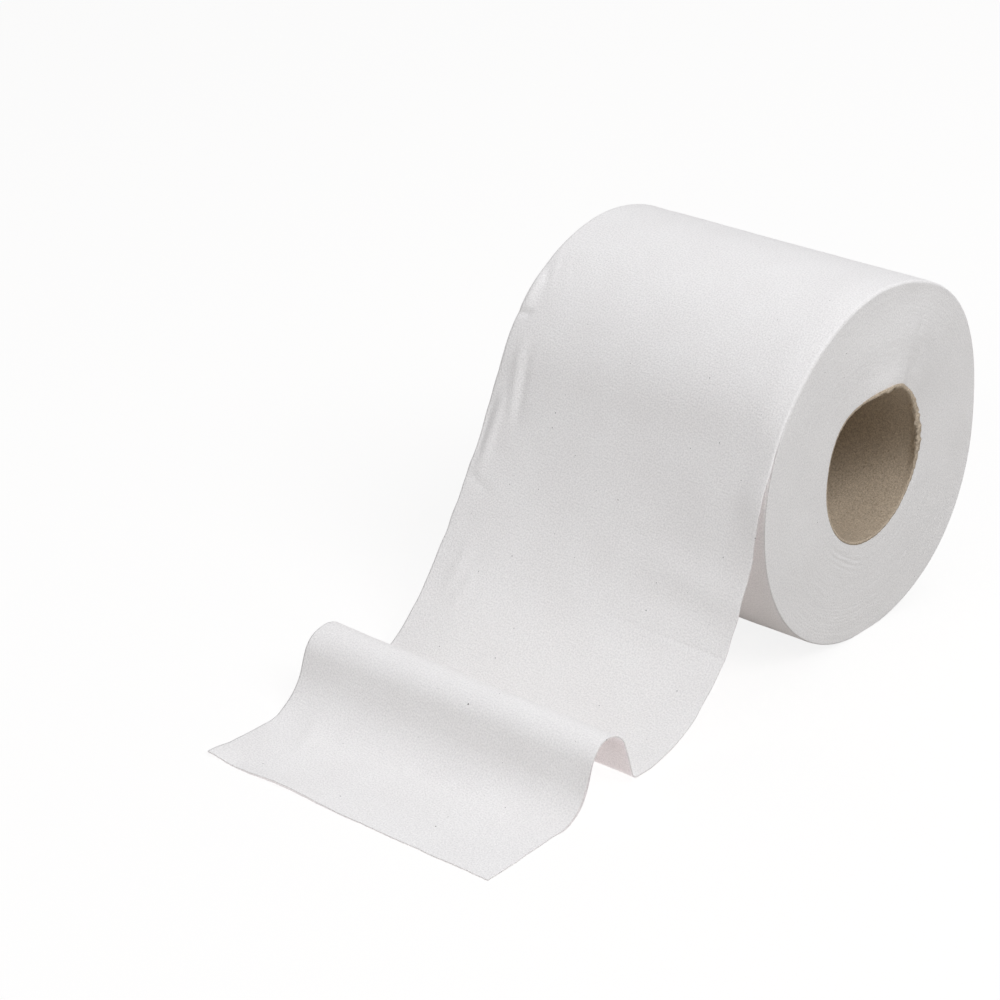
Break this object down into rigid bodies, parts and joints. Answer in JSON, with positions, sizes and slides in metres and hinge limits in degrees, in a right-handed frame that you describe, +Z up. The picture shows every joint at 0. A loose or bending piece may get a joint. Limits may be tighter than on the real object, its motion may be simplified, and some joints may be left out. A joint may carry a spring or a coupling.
{
  "type": "toilet paper roll",
  "caption": "White tissue roll on a cardboard core, lying on its side with its loose end pulled out over a small hump.",
  "frame": {"origin": "on the floor, at the middle of the small flat spot that the roll lies on", "axes": "+Z up, +Y along the roll's axis and away from the end face that shows, the loose tail runs towards -X"},
  "size_m": [0.2242, 0.098, 0.1055],
  "materials": {
    "tissue_paper": "soft matte recycled tissue with a fine pressed dot pattern",
    "core_board": "matte grey-brown board, spiral wound, rough at its cut ends"
  },
  "bodies": {
    "root": {"tissue": "tissue_paper", "core": "core_board"}
  },
  "joints": []
}
